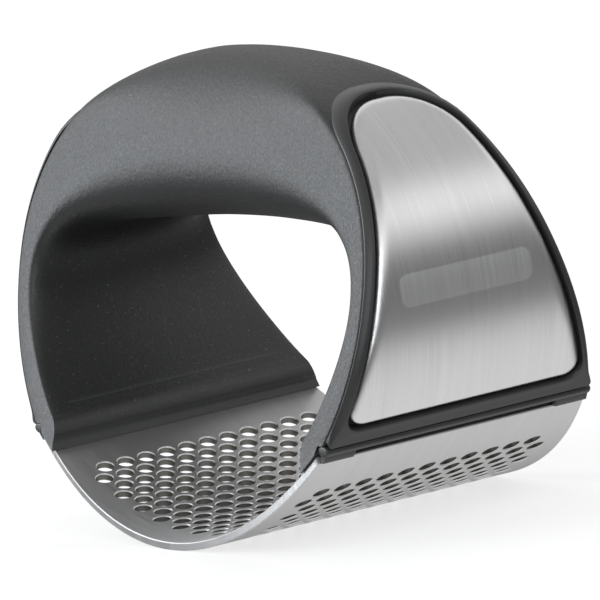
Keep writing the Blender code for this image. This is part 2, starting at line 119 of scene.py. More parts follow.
PANEL_PROUD = 1.33 * MM
PANEL_THICKNESS = 0.8 * MM
PANEL_SIDE_MARGIN = 1.9 * MM
PANEL_BOTTOM_MARGIN = 2.2 * MM
PANEL_TOP_DROP = 8.2 * MM
PANEL_TOP_RADIUS = 6.9 * MM
TOP_STRETCH = 1.6  # how much longer the top corners are along the flank than across it
PANEL_BOTTOM_RADIUS = 3.2 * MM
PANEL_ROLL_WIDTH = 1.8 * MM
PANEL_ROLL_DROP = 1.4 * MM
PANEL_GROOVE = 0.45 * MM
EMBLEM_HEIGHT = 37.85 * MM  # middle of the blank etched field on each panel
EMBLEM_HALF_LENGTH = 11.0 * MM
EMBLEM_HALF_HEIGHT = 2.45 * MM
EMBLEM_CORNER = 1.4 * MM
EMBLEM_SOFTNESS = 0.1 * MM
EMBLEM_ROUGHENING = 0.16
EMBLEM_LIGHTENING = 0.30
FRAME_EDGE_SETBACK = 0.15 * MM
FRAME_TOP_DROP = 6.0 * MM
FRAME_TOP_RADIUS = 8.2 * MM
FRAME_BOTTOM_LEVEL = 1.08 * MM  # how far the frame stands out all along its bottom edge
FRAME_BOTTOM_BLEND = 2.4 * MM
FRAME_BOTTOM_RADIUS = 0.8 * MM
FRAME_FLOOR = -0.3 * MM
FRAME_FLOOR_SETBACK = 0.1 * MM
FRAME_BACK = -GRIP_WALL + TOUCH
WINDOW_BOTTOM_INSET = 0.6 * MM  # the grip's window under the frame lies this far inside its outline
WINDOW_TOP_INSET = 0.8 * MM
WINDOW_SIDE_INSET = 0.75 * MM
WINDOW_BOTTOM_RADIUS = 0.8 * MM
WINDOW_DEPTH = 2.2 * MM

CUTTER_HALF_WIDTH = 70 * MM
CUTTER_HALF_LENGTH = 40 * MM
CUTTER_DEPTH = 5 * MM
FOOT_ARC_STEPS = 12

ARCH_STATIONS = 120
SECTION_POINTS = 64
FLANK_STEPS = 400
PANEL_ROWS = 90
PANEL_COLUMNS = 60


# ---- Small helpers ----


def smooth_step(value, start, end):
    share = min(1.0, max(0.0, (value - start) / (end - start)))
    return share * share * (3 - 2 * share)


def mesh_from(name, points, faces):
    """A mesh with its faces turned to point out."""
    mesh = bpy.data.meshes.new(name)
    mesh.from_pydata(points, [], faces)
    work = bmesh.new()
    work.from_mesh(mesh)
    bmesh.ops.recalc_face_normals(work, faces=work.faces)
    work.to_mesh(mesh)
    work.free()
    return mesh


def link(name, mesh):
    obj = bpy.data.objects.new(name, mesh)
    bpy.context.scene.collection.objects.link(obj)
    return obj


def shade(obj, degrees=40):
    obj.data.shade_smooth()
    obj.data.set_sharp_from_angle(angle=math.radians(degrees))


def apply_booleans(obj, cutters, operation="DIFFERENCE"):
    """Cuts obj with these meshes, or joins them to it, and keeps the result as its own mesh."""
    helpers = [link(f"cutter_{index}", mesh) for index, mesh in enumerate(cutters)]
    for helper in helpers:
        modifier = obj.modifiers.new(helper.name, "BOOLEAN")
        modifier.operation = operation
        modifier.solver = "EXACT"
        modifier.object = helper
    graph = bpy.context.evaluated_depsgraph_get()
    mesh = bpy.data.meshes.new_from_object(obj.evaluated_get(graph))
    obj.modifiers.clear()
    obj.data = mesh
    for helper in helpers:
        bpy.data.objects.remove(helper, do_unlink=True)


def finish_piece(obj, material, slot, *nodes):
    obj.data.materials.clear()
    obj.data.materials.append(material)
    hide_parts(*nodes)
    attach(obj, BODY)
    return obj


def loft(name, rings, closed=False, capped=True):
    """A surface through rings of equal length. closed joins the last ring to the first."""
    count = len(rings[0])
    points = [point for ring in rings for point in ring]
    faces = []
    for layer in range(len(rings) if closed else len(rings) - 1):
        start, following = layer * count, (layer + 1) % len(rings) * count
        for index in range(count):
            after = (index + 1) % count
            faces.append((start + index, start + after, following + after, following + index))
    if capped and not closed:
        faces.append(tuple(range(count)))
        faces.append(tuple(range(len(points) - count, len(points))))
    return mesh_from(name, points, faces)


# ---- The plate's edge and the arch's curves, as the design has them ----


def plate_point(angle, radius=PLATE_RADIUS):
    """(x, z) on a circle about the plate's axis, with the angle taken from straight down."""
    return radius * math.sin(angle), PLATE_RADIUS - radius * math.cos(angle)


def strip_centre():
    x, z = plate_point(PLATE_EDGE_ANGLE, PLATE_RADIUS - PLATE_THICKNESS / 2)
    step = STRIP_HALF_WIDTH + 2 * FIT_GAP
    return x + step * math.cos(PLATE_EDGE_ANGLE), z + step * math.sin(PLATE_EDGE_ANGLE)


STRIP_X, STRIP_Z = strip_centre()
FRAME_BOTTOM_HEIGHT = STRIP_Z + STRIP_HALF_HEIGHT + FIT_GAP
FRAME_TOP_HEIGHT = HEIGHT - FRAME_TOP_DROP
PANEL_BOTTOM_HEIGHT = FRAME_BOTTOM_HEIGHT + PANEL_BOTTOM_MARGIN
PANEL_TOP_HEIGHT = HEIGHT - PANEL_TOP_DROP
CROWN_RISE = HEIGHT - WIDEST_HEIGHT
LEG_DROP = (WIDEST_HEIGHT - STRIP_Z) / math.sqrt(1 - (STRIP_X / ARCH_HALF_WIDTH) ** 2)
ARCH_START = -math.acos(STRIP_X / ARCH_HALF_WIDTH) - math.radians(11)


def outer_point(turn):
    """(x, z) on the right half of the outer curve: 0 at the widest height, 90 degrees at the crown."""
    cosine, sine = math.cos(turn), math.sin(turn)
    if turn < 0:
        return ARCH_HALF_WIDTH * cosine, WIDEST_HEIGHT + LEG_DROP * sine
    power = 2 / CROWN_EXPONENT
    return ARCH_HALF_WIDTH * max(cosine, 0.0) ** power, WIDEST_HEIGHT + CROWN_RISE * sine**power


def outer_normal(turn):
    if turn >= math.pi / 2:
        return 0.0, 1.0
    x, z = outer_point(turn)
    power = 2.0 if turn < 0 else CROWN_EXPONENT
    rise = LEG_DROP if turn < 0 else CROWN_RISE
    up = (z - WIDEST_HEIGHT) / rise
    normal_x = (x / ARCH_HALF_WIDTH) ** (power - 1) / ARCH_HALF_WIDTH
    normal_z = math.copysign(abs(up) ** (power - 1), up) / rise
    length = math.hypot(normal_x, normal_z)
    return normal_x / length, normal_z / length


def turn_at(height):
    """Where the outer curve reaches this height: the inverse of outer_point."""
    if height < WIDEST_HEIGHT:
        return -math.asin((WIDEST_HEIGHT - height) / LEG_DROP)
    return math.asin(((height - WIDEST_HEIGHT) / CROWN_RISE) ** (CROWN_EXPONENT / 2))


def half_depth(height):
    share = (height - STRIP_Z) / (HEIGHT - STRIP_Z)
    return FOOT_HALF_DEPTH + (CROWN_HALF_DEPTH - FOOT_HALF_DEPTH) * share


def swell(turn):
    """Share of the crown's extra thickness, before it is evened out."""
    start = math.sin(math.radians(SWELL_START_TURN))
    return max(0.0, (math.sin(turn) - start) / (1 - start)) ** SWELL_EXPONENT


def arch_thickness(turn):
    """Thickness of the arch from its outer to its inner curve, with the start of the swell evened out."""
    reach = math.radians(SWELL_BLEND_TURN) * smooth_step(math.pi / 2 - turn, 0.0, SWELL_FADE_TURN)
    total = weights = 0.0
    for sample in range(-SWELL_SAMPLES, SWELL_SAMPLES + 1):
        share = sample / (SWELL_SAMPLES + 1)
        weight = (1 - share**2) ** 2
        total += weight * swell(turn + reach * share)
        weights += weight
    return LEG_THICKNESS + (CROWN_THICKNESS - LEG_THICKNESS) * total / weights


def section_exponent(crown_exponent, turn, turns):
    """Roundness of the arch's section, which goes from the leg's to the crown's between these turns."""
    share = smooth_step(math.degrees(turn), *turns)
    return 1 / (1 / LEG_EXPONENT + (1 / crown_exponent - 1 / LEG_EXPONENT) * share)


def arch_section(turn, inset):
    """Ring of points round the arch at one place: a flat bar in the legs and an oval in the crown."""
    side = 1
    if turn > math.pi / 2:
        turn, side = math.pi - turn, -1
    x, z = outer_point(turn)
    normal_x, normal_z = outer_normal(turn)
    thickness = arch_thickness(turn) - 2 * inset
    outer_exponent = section_exponent(CROWN_OUTER_EXPONENT, turn, OUTER_ROUNDING_TURN)
    inner_exponent = section_exponent(CROWN_INNER_EXPONENT, turn, INNER_ROUNDING_TURN)
    ring = []
    for index in range(SECTION_POINTS):
        angle = 2 * math.pi * index / SECTION_POINTS
        power = 2 / (outer_exponent if math.sin(angle) > 0 else inner_exponent)
        across = math.copysign(abs(math.cos(angle)) ** power, math.cos(angle))
        through = math.copysign(abs(math.sin(angle)) ** power, math.sin(angle))
        depth = inset + thickness * (1 - through) / 2
        height = z - normal_z * depth
        ring.append(Vector((side * (x - normal_x * depth), across * (half_depth(height) - inset), height)))
    return ring


def arch_rings(inset):
    span = math.pi - 2 * ARCH_START
    turns = [ARCH_START + span * index / ARCH_STATIONS for index in range(ARCH_STATIONS + 1)]
    return [arch_section(turn, inset) for turn in turns]


# ---- The flank as a surface: s runs up along the outer curve, y across it ----

FLANK_SPAN = math.pi / 2 - ARCH_START
FLANK_TURNS = [ARCH_START + FLANK_SPAN * step / FLANK_STEPS for step in range(FLANK_STEPS + 1)]
FLANK_LENGTHS = [0.0]
for earlier, later in zip(FLANK_TURNS, FLANK_TURNS[1:]):
    FLANK_LENGTHS.append(FLANK_LENGTHS[-1] + math.dist(outer_point(earlier), outer_point(later)))


def interpolate(value, keys, results):
    """The result at a value between rising keys."""
    low, high = 0, len(keys) - 1
    while high - low > 1:
        middle = (low + high) // 2
        if keys[middle] > value:
            high = middle
        else:
            low = middle
    share = (value - keys[low]) / (keys[high] - keys[low])
    return results[low] + (results[high] - results[low]) * share


def length_at(height):
    return interpolate(turn_at(height), FLANK_TURNS, FLANK_LENGTHS)


def flank_point(side, length, y, level):
    """A point this far above the grip's outer surface, which falls away towards the edges of the crown."""
    turn = interpolate(length, FLANK_LENGTHS, FLANK_TURNS)
    x, z = outer_point(turn)
    normal_x, normal_z = outer_normal(turn)
    exponent = section_exponent(CROWN_OUTER_EXPONENT, turn, OUTER_ROUNDING_TURN)
    share = min(1.0, abs(y) / half_depth(z))
    through = (1 - share**exponent) ** (1 / exponent)
    fall = arch_thickness(turn) * (1 - through) / 2
    rounding_start = OUTER_ROUNDING_TURN[0]
    fall *= smooth_step(math.degrees(turn), rounding_start - ROUNDING_BLEND, rounding_start + ROUNDING_BLEND)
    off = level - fall
    return Vector((side * (x + normal_x * off), y, z + normal_z * off))


def side_y(length, margin):
    """Y of a line that runs up the flank this far inside its edge."""
    turn = interpolate(length, FLANK_LENGTHS, FLANK_TURNS)
    return half_depth(outer_point(turn)[1]) - margin


def corner_cut(distance, radius):
    """How far a rounded corner pulls an outline in, at this distance from the outline's end."""
    if distance >= radius:
        return 0.0
    return radius - math.sqrt(radius**2 - (radius - distance) ** 2)


def flank_outline(bottom, top, margin, bottom_radius, top_radius):
    """(s, y) points round a rounded outline on the flank. Outlines made here match point for point."""
    corner_steps, side_steps, end_steps = 10, 44, 12
    start, end = length_at(bottom), length_at(top)
    right = []
    for step in range(corner_steps + 1):
        angle = math.pi / 2 * step / corner_steps
        length = start + bottom_radius * (1 - math.cos(angle))
        right.append((length, side_y(length, margin) - bottom_radius * (1 - math.sin(angle))))
    low, high = start + bottom_radius, end - top_radius * TOP_STRETCH
    for step in range(1, side_steps):
        length = low + (high - low) * step / side_steps
        right.append((length, side_y(length, margin)))
    for step in range(corner_steps + 1):
        angle = math.pi / 2 * (1 - step / corner_steps)
        length = end - top_radius * TOP_STRETCH * (1 - math.cos(angle))
        right.append((length, side_y(length, margin) - top_radius * (1 - math.sin(angle))))
    top_y, bottom_y = right[-1][1], right[0][1]
    outline = list(right)
    for step in range(1, end_steps):
        outline.append((end, top_y * (1 - 2 * step / end_steps)))
    outline += [(length, -y) for length, y in reversed(right)]
    for step in range(1, end_steps):
        outline.append((start, bottom_y * (2 * step / end_steps - 1)))
    return outline


def flank_slab(name, side, bottom, top, margin, outer, inner, radii):
    """A closed slab on the flank between two levels, for the frame's floor and the grip's windows."""
    start, end = length_at(bottom), length_at(top)
    rows, columns = 40, 8
    rings = []
    for row in range(rows + 1):
        length = start + (end - start) * (1 - math.cos(math.pi * row / rows)) / 2
        width = side_y(length, margin)
        for distance, radius in ((length - start, radii[0]), ((end - length) / TOP_STRETCH, radii[1])):
            width -= corner_cut(distance, radius)
        across = [width * (2 * column / columns - 1) for column in range(columns + 1)]
        ring = [flank_point(side, length, y, outer) for y in across]
        ring += [flank_point(side, length, y, inner) for y in reversed(across)]
        rings.append(ring)
    return loft(name, rings)


# ---- Materials ----


class Nodes:
    """Short calls for building a node tree."""

    def __init__(self, tree, coordinates):
        self.tree = tree
        self.position = self.add("ShaderNodeTexCoord").outputs[coordinates]

    def add(self, kind, inputs=(), **settings):
        node = self.tree.nodes.new(kind)
        for key, value in settings.items():
            setattr(node, key, value)
        for key, value in dict(inputs).items():
            if isinstance(value, bpy.types.NodeSocket):
                self.tree.links.new(value, node.inputs[key])
            else:
                node.inputs[key].default_value = value
        return node

    def noise(self, scale, detail=2.0, stretch=(1, 1, 1), roughness=0.5):
        """Noise whose scale is in features to a metre, along X, Y and Z as stretch says."""
        where = self.position
        if tuple(stretch) != (1, 1, 1):
            where = self.add("ShaderNodeMapping", {"Vector": where, "Scale": stretch}).outputs[0]
        inputs = {"Vector": where, "Scale": scale, "Detail": detail, "Roughness": roughness}
        return self.add("ShaderNodeTexNoise", inputs).outputs["Fac"]

    def remap(self, value, low, high, start=0.3, end=0.7):
        inputs = {"Value": value, "From Min": start, "From Max": end, "To Min": low, "To Max": high}
        return self.add("ShaderNodeMapRange", inputs).outputs["Result"]

    def maths(self, operation, first, second=0.0):
        return self.add("ShaderNodeMath", {0: first, 1: second}, operation=operation).outputs[0]

    def ramp(self, value, *stops):
        node = self.add("ShaderNodeValToRGB", {"Fac": value})
        elements = node.color_ramp.elements
        while len(elements) < len(stops):
            elements.new(0.5)
        for element, (place, colour) in zip(elements, stops):
            element.position = place
            element.color = (*colour, 1.0)
        return node.outputs["Color"]

    def mix(self, share, first, second):
        """A mix of two colours: the mix node has these at places 6 and 7, and its result at place 2."""
        inputs = {0: share}
        for place, colour in ((6, first), (7, second)):
            inputs[place] = colour if isinstance(colour, bpy.types.NodeSocket) else (*colour, 1.0)
        return self.add("ShaderNodeMix", inputs, data_type="RGBA").outputs[2]

    def bump(self, height, distance, strength=1.0, before=None):
        """A normal bumped by up to this distance in metres, on top of the one before it."""
        inputs = {"Height": height, "Distance": distance, "Strength": strength}
        if before is not None:
            inputs["Normal"] = before
        return self.add("ShaderNodeBump", inputs).outputs["Normal"]


class SurfaceNodes(Nodes):
    """One material's nodes, placed by the object's own coordinates."""

    def __init__(self, name):
        self.material = bpy.data.materials.new(name)
        self.material.use_nodes = True
        self.shader = self.material.node_tree.nodes["Principled BSDF"]
        super().__init__(self.material.node_tree, "Object")

    def plug(self, **sockets):
        """Sets or links the shader's sockets, named with _ for a space."""
        for name, value in sockets.items():
            socket = self.shader.inputs[name.replace("_", " ")]
            if isinstance(value, bpy.types.NodeSocket):
                self.tree.links.new(value, socket)
            else:
                socket.default_value = value


def grey(value, tint=0.0):
    """A grey, a little bluer for a positive tint."""
    return (value * (1 - tint), value, value * (1 + tint))


def textured_plastic():
    nodes = SurfaceNodes("textured_plastic")
    grain = nodes.noise(2400, 3.0, roughness=0.7)
    pebble = nodes.noise(1100, 2.0)
    cloud = nodes.noise(60, 3.0)
    glint_noise = nodes.noise(2700, 1.0)
    edge = nodes.add("ShaderNodeNewGeometry").outputs["Pointiness"]
    wear = nodes.remap(edge, 0.0, 1.0, 0.53, 0.62)
    colour = nodes.ramp(cloud, (0.3, grey(0.012, 0.04)), (0.7, grey(0.016, 0.05)))
    # Small bright flecks in the base colour are painted glints: they stand in for the sparkle of light on the
    # grain.
    painted_glints = nodes.remap(glint_noise, 0.0, 0.8, 0.68, 0.78)
    colour = nodes.mix(painted_glints, colour, grey(0.13))
    colour = nodes.mix(wear, colour, grey(0.07))
    normal = nodes.bump(grain, 7e-5, 0.9)
    normal = nodes.bump(pebble, 7e-5, 0.6, normal)
    nodes.plug(Base_Color=colour, Roughness=nodes.remap(grain, 0.40, 0.56), Normal=normal)
    nodes.plug(Specular_IOR_Level=0.72)
    return nodes.material


def smooth_plastic():
    nodes = SurfaceNodes("smooth_plastic")
    cloud = nodes.noise(90, 3.0)
    fine = nodes.noise(2400, 2.0)
    edge = nodes.add("ShaderNodeNewGeometry").outputs["Pointiness"]
    wear = nodes.remap(edge, 0.0, 0.8, 0.54, 0.64)
    colour = nodes.ramp(cloud, (0.3, grey(0.034)), (0.7, grey(0.042)))
    colour = nodes.mix(wear, colour, grey(0.12))
    nodes.plug(Base_Color=colour, Roughness=nodes.remap(cloud, 0.34, 0.44))
    nodes.plug(Normal=nodes.bump(fine, 1.2e-5, 0.35))
    return nodes.material


def emblem_share(nodes):
    """1 inside a blank etched field with rounded corners on each panel, and 0 outside it."""
    place = nodes.add("ShaderNodeSeparateXYZ", {"Vector": nodes.position}).outputs
    height = nodes.maths("SUBTRACT", place["Z"], EMBLEM_HEIGHT)
    squares = []
    for value, half in ((place["Y"], EMBLEM_HALF_LENGTH), (height, EMBLEM_HALF_HEIGHT)):
        beyond = nodes.maths("SUBTRACT", nodes.maths("ABSOLUTE", value), half - EMBLEM_CORNER)
        squares.append(nodes.maths("POWER", nodes.maths("MAXIMUM", beyond, 0.0), 2.0))
    distance = nodes.maths("SQRT", nodes.maths("ADD", *squares))
    return nodes.remap(distance, 1.0, 0.0, EMBLEM_CORNER - EMBLEM_SOFTNESS, EMBLEM_CORNER + EMBLEM_SOFTNESS)


BROAD_STREAKS = 6  # how many times wider the broad streaks are than the fine ones
# Painted shade: the walls of the plate's holes get this darker colour to stand in for the shade inside them.
HOLE_WALL_PAINTED_SHADE = (0.20, 0.195, 0.18)


def brushed_steel(name, tone, streaks, roughness, depth, emblem=False):
    """Steel brushed one way: streaks holds the brush marks to a metre along X, Y and Z."""
    nodes = SurfaceNodes(name)
    fine = nodes.noise(1.0, 2.0, streaks, 0.6)
    broad = nodes.noise(1.0, 2.0, [marks / BROAD_STREAKS for marks in streaks])
    cloud = nodes.noise(70, 2.0)
    colour = nodes.ramp(broad, (0.25, grey(tone * 0.97)), (0.75, grey(tone * 1.03)))
    colour = nodes.mix(nodes.remap(cloud, 0.0, 0.10), colour, grey(tone * 0.8))
    # The hole walls are darkened here: painted shade inside the holes.
    in_hole = nodes.add("ShaderNodeAttribute", attribute_name="in_hole").outputs["Fac"]
    colour = nodes.mix(in_hole, colour, HOLE_WALL_PAINTED_SHADE)
    across = nodes.add("ShaderNodeCombineXYZ", {"Y": 1.0}).outputs[0]
    nodes.plug(Metallic=1.0, Anisotropic=0.7, Tangent=across)
    rough = nodes.remap(fine, roughness - 0.05, roughness + 0.08)
    if emblem:
        etched = emblem_share(nodes)
        rough = nodes.maths("ADD", rough, nodes.maths("MULTIPLY", etched, EMBLEM_ROUGHENING))
        colour = nodes.mix(nodes.maths("MULTIPLY", etched, EMBLEM_LIGHTENING), colour, grey(0.95))
    nodes.plug(Base_Color=colour, Roughness=rough)
    nodes.plug(Normal=nodes.bump(broad, depth * 2, 0.4, nodes.bump(fine, depth, 1.0)))
    return nodes.material


def plain(name, colour, roughness, metallic, scale):
    """A material for the pieces that are hidden inside: an even tone with light mottling."""
    nodes = SurfaceNodes(name)
    cloud = nodes.noise(scale, 3.0)
    low, high = [[tone * share for tone in colour] for share in (0.85, 1.1)]
    nodes.plug(Base_Color=nodes.ramp(cloud, (0.3, low), (0.7, high)), Metallic=metallic)
    nodes.plug(Roughness=nodes.remap(cloud, roughness - 0.06, roughness + 0.06))
    nodes.plug(Normal=nodes.bump(nodes.noise(scale * 12, 2.0), 1e-5, 0.5))
    return nodes.material


# ---- Pieces ----


def inner_face(height):
    """(x, z) on the inner face of the right leg at this height."""
    xs, heights = [], []
    for turn in FLANK_TURNS:
        if turn <= 0:
            (x, z), (normal_x, normal_z) = outer_point(turn), outer_normal(turn)
            xs.append(x - normal_x * LEG_THICKNESS)
            heights.append(z - normal_z * LEG_THICKNESS)
    return interpolate(height, heights, xs), height


def foot_knee():
    """Points of the rounded knee between a leg's inner face and the foot's upright face."""
    start, corner = inner_face(FOOT_TRIM_HEIGHT + FOOT_KNEE), inner_face(FOOT_TRIM_HEIGHT)
    end = (FOOT_INNER_HALF_WIDTH, FOOT_TRIM_HEIGHT - FOOT_KNEE)
    points = []
    for step in range(FOOT_KNEE_STEPS + 1):
        share = step / FOOT_KNEE_STEPS
        weights = ((1 - share) ** 2, 2 * share * (1 - share), share**2)
        triple = (start, corner, end)
        points.append([sum(weight * spot[axis] for weight, spot in zip(weights, triple)) for axis in (0, 1)])
    return points


def foot_cutter(lift=0.0):
    """What the feet stop at: the space between them, the plate below them and the strips beside them.

    It is lifted to cut the grip's inside, which leaves a wall that thick on each of those faces.
    """
    clear_radius = PLATE_INNER_RADIUS - TOUCH
    inner_angle = math.asin((FOOT_INNER_HALF_WIDTH + lift) / clear_radius)
    inner_wall = STRIP_X - STRIP_HALF_WIDTH - TOUCH
    last_angle = math.asin((inner_wall - FIT_GAP) / clear_radius)
    shelf = STRIP_Z + STRIP_HALF_HEIGHT + TOUCH
    right = [(FOOT_INNER_HALF_WIDTH + lift, FOOT_TRIM_HEIGHT)] if lift else foot_knee()
    for step in range(FOOT_ARC_STEPS + 1):
        angle = inner_angle + (last_angle - inner_angle) * step / FOOT_ARC_STEPS
        right.append(plate_point(angle, clear_radius))
    right += [(inner_wall, STRIP_Z), (inner_wall + 2 * FIT_GAP, shelf)]
    right += [(CUTTER_HALF_WIDTH, shelf), (CUTTER_HALF_WIDTH, -CUTTER_DEPTH)]
    outline = right + [(-x, z) for x, z in reversed(right)]
    ends = (-CUTTER_HALF_LENGTH, CUTTER_HALF_LENGTH)
    return loft("foot_cutter", [[Vector((x, y, z + lift)) for x, z in outline] for y in ends])


def make_grip(material):
    """The hollow textured skin of the whole arch, with a window in each flank for the frame's floor."""
    inside = link("grip_inside", loft("grip_inside", arch_rings(GRIP_WALL)))
    apply_booleans(inside, [foot_cutter(GRIP_WALL)])
    grip = link("grip_skin", loft("grip_skin", arch_rings(0.0)))
    cutters = [inside.data, foot_cutter()]
    bpy.data.objects.remove(inside, do_unlink=True)
    for side in (1, -1):
        cutters.append(
            flank_slab(
                "window", side,
                FRAME_BOTTOM_HEIGHT + WINDOW_BOTTOM_INSET, FRAME_TOP_HEIGHT - WINDOW_TOP_INSET,
                WINDOW_SIDE_INSET, PANEL_PROUD, -WINDOW_DEPTH,
                (WINDOW_BOTTOM_RADIUS, FRAME_TOP_RADIUS - WINDOW_TOP_INSET),
            )  # fmt: skip
        )
    apply_booleans(grip, cutters)
    shade(grip, 34)
    return finish_piece(grip, material, "textured_grip", "textured_grip")


# How the frame's bezel rises: share of the way from its outer edge to the groove, and height in mm
BEZEL = (
    (0.0, -0.03), (0.0, 0.12), (0.05, 0.26), (0.16, 0.45), (0.36, 0.74), (0.58, 0.98), (0.78, 1.12),
    (0.92, 1.17), (0.98, 1.13), (1.0, 1.02),
)  # fmt: skip
BEZEL_FOOT_SHARE = 0.6


def make_frame(label, side, material):
    """A flank frame: a ring whose bezel rises from the grip to the groove, and the floor under the panel."""
    outer = flank_outline(
        FRAME_BOTTOM_HEIGHT, FRAME_TOP_HEIGHT, FRAME_EDGE_SETBACK, FRAME_BOTTOM_RADIUS, FRAME_TOP_RADIUS
    )
    inner = flank_outline(
        PANEL_BOTTOM_HEIGHT - PANEL_GROOVE, PANEL_TOP_HEIGHT + PANEL_GROOVE, PANEL_SIDE_MARGIN - PANEL_GROOVE,
        PANEL_BOTTOM_RADIUS + PANEL_GROOVE, PANEL_TOP_RADIUS + PANEL_GROOVE,
    )  # fmt: skip
    profile = [(share, level * MM) for share, level in BEZEL]
    foot_level = profile[0][1]
    profile += [(1.0, FRAME_BACK), (BEZEL_FOOT_SHARE, FRAME_BACK), (BEZEL_FOOT_SHARE, foot_level)]
    rings = []
    bottom = length_at(FRAME_BOTTOM_HEIGHT)
    for (outer_s, outer_y), (inner_s, inner_y) in zip(outer, inner):
        ring = []
        low = 1 - smooth_step(outer_s, bottom, bottom + FRAME_BOTTOM_BLEND)
        for place, (share, level) in enumerate(profile):
            if 0 < place < len(BEZEL) - 1:
                level = max(level, level + (FRAME_BOTTOM_LEVEL - level) * low)
            length = outer_s + (inner_s - outer_s) * share
            ring.append(flank_point(side, length, outer_y + (inner_y - outer_y) * share, level))
        rings.append(ring)
    frame_piece = link(f"frame_{label}", loft("frame", rings, closed=True))
    floor = flank_slab(
        "floor", side, PANEL_BOTTOM_HEIGHT - 2 * PANEL_GROOVE, PANEL_TOP_HEIGHT + 2 * PANEL_GROOVE,
        PANEL_SIDE_MARGIN - 2 * PANEL_GROOVE + FRAME_FLOOR_SETBACK, FRAME_FLOOR, FRAME_BACK + TOUCH,
        (PANEL_BOTTOM_RADIUS, PANEL_TOP_RADIUS + PANEL_GROOVE),
    )  # fmt: skip
    apply_booleans(frame_piece, [floor], "UNION")
    shade(frame_piece, 38)
    return finish_piece(frame_piece, material, "smooth_plastic", f"flank_frame_{label}")


def panel_level(distance):
    """Height of the panel's outer face at this distance from its outline: its edge is rolled down."""
    share = max(0.0, 1 - distance / PANEL_ROLL_WIDTH)
    return PANEL_PROUD - PANEL_ROLL_DROP * (1 - math.sqrt(1 - share**2))


def panel_grids(side):
    """Rows of points on the panel's outer face and on its back, closer together near its outline."""
    start, end = length_at(PANEL_BOTTOM_HEIGHT), length_at(PANEL_TOP_HEIGHT)
    tops, backs = [], []
    for row in range(PANEL_ROWS + 1):
        length = start + (end - start) * (1 - math.cos(math.pi * row / PANEL_ROWS)) / 2
        full_width = side_y(length, PANEL_SIDE_MARGIN)
        from_end, radius = length - start, PANEL_BOTTOM_RADIUS
        if end - length < length - start:
            from_end, radius = (end - length) / TOP_STRETCH, PANEL_TOP_RADIUS
        width = full_width - corner_cut(from_end, radius)
        top, back = [], []
        for column in range(PANEL_COLUMNS + 1):
            y = -width * math.cos(math.pi * column / PANEL_COLUMNS)
            from_side = full_width - abs(y)
            distance = min(from_end, from_side)
            if from_end < radius and from_side < radius:
                distance = radius - math.hypot(radius - from_end, radius - from_side)
            level = panel_level(max(0.0, distance))
            top.append(flank_point(side, length, y, level))
            back.append(flank_point(side, length, y, max(FRAME_FLOOR + TOUCH, level - PANEL_THICKNESS)))
        tops.append(top)
        backs.append(back)
    return tops, backs


def make_panel(label, side, material):
    """A pressed steel panel with a rolled edge: its outer face, its back, and the rim between them."""
    tops, backs = panel_grids(side)
    count = PANEL_COLUMNS + 1
    points = [point for row in tops + backs for point in row]
    below = count * (PANEL_ROWS + 1)
    faces = []
    for row in range(PANEL_ROWS):
        for column in range(PANEL_COLUMNS):
            corner = row * count + column
            quad = (corner, corner + 1, corner + count + 1, corner + count)
            faces.append(quad)
            faces.append(tuple(below + index for index in reversed(quad)))
    rim = list(range(count))
    rim += [row * count + PANEL_COLUMNS for row in range(1, PANEL_ROWS + 1)]
    rim += [PANEL_ROWS * count + column for column in range(PANEL_COLUMNS - 1, -1, -1)]
    rim += [row * count for row in range(PANEL_ROWS - 1, 0, -1)]
    for first, second in zip(rim, rim[1:] + rim[:1]):
        faces.append((second, first, below + first, below + second))
    panel = link(f"panel_{label}", mesh_from("panel", points, faces))
    shade(panel, 50)
    return finish_piece(panel, material, "panel_steel", f"steel_panel_{label}")


def tab_block(side, direction):
    """The tab at one end of a strip, which hangs over the plate's outer face."""
    low = STRIP_Z - STRIP_HALF_HEIGHT - TAB_DROP
    low_x = math.sqrt((PLATE_RADIUS + TOUCH) ** 2 - (PLATE_RADIUS - low) ** 2)
    tip = [(low_x, low), (low_x + TAB_THICKNESS * TAB_TIP_SHARE, low)]
    tip.append((low_x + TAB_THICKNESS, low + TAB_TIP_RISE))
    root = [(STRIP_X + STRIP_HALF_WIDTH * share, STRIP_Z) for share in TAB_ROOT]
    ends = [(STRIP_HALF_LENGTH - TAB_SETBACK, 0.0), (STRIP_HALF_LENGTH - TAB_LENGTH, TAB_SLANT)]
    rings = []
    for y, slant in sorted((direction * y, direction * slant) for y, slant in ends):
        ring = [Vector((side * x, y, z)) for x, z in tip]
        rings.append(ring + [Vector((side * x, y - slant, z)) for x, z in root])
    return loft("tab", rings)


def make_strip(label, side, material):
    """The lens-shaped strip with softly rounded ends, and the tab at each end that laps over the plate."""
    stations = []
    for step in range(STRIP_END_STEPS + 1):
        angle = math.pi / 2 * step / STRIP_END_STEPS
        y = STRIP_HALF_LENGTH - STRIP_END_ROUND * (1 - math.sin(angle))
        stations.append((y, STRIP_END_ROUND * (1 - math.cos(angle))))
    stations = [(-y, inset) for y, inset in reversed(stations)] + stations
    rings = []
    for y, inset in stations:
        ring = []
        for index in range(STRIP_SIDES):
            angle = 2 * math.pi * index / STRIP_SIDES
            x = STRIP_X + (STRIP_HALF_WIDTH - inset) * math.cos(angle)
            z = STRIP_Z + (STRIP_HALF_HEIGHT - inset) * math.sin(angle)
            ring.append(Vector((side * x, y, z)))
        rings.append(ring)
    strip = link(f"strip_{label}", loft("strip", rings))
    apply_booleans(strip, [tab_block(side, direction) for direction in (1, -1)], "UNION")
    shade(strip, 36)
    return finish_piece(strip, material, "smooth_plastic", f"edge_strip_{label}")


HOLE_CIRCLE = [
    (math.cos(2 * math.pi * corner / HOLE_SIDES), math.sin(2 * math.pi * corner / HOLE_SIDES))
    for corner in range(HOLE_SIDES)
]


def plate_half_length(angle):
    """Half the plate's length along Y at this angle: its ends are bowed."""
    return PLATE_HALF_LENGTH - PLATE_END_BOW * (angle / PLATE_EDGE_ANGLE) ** 2


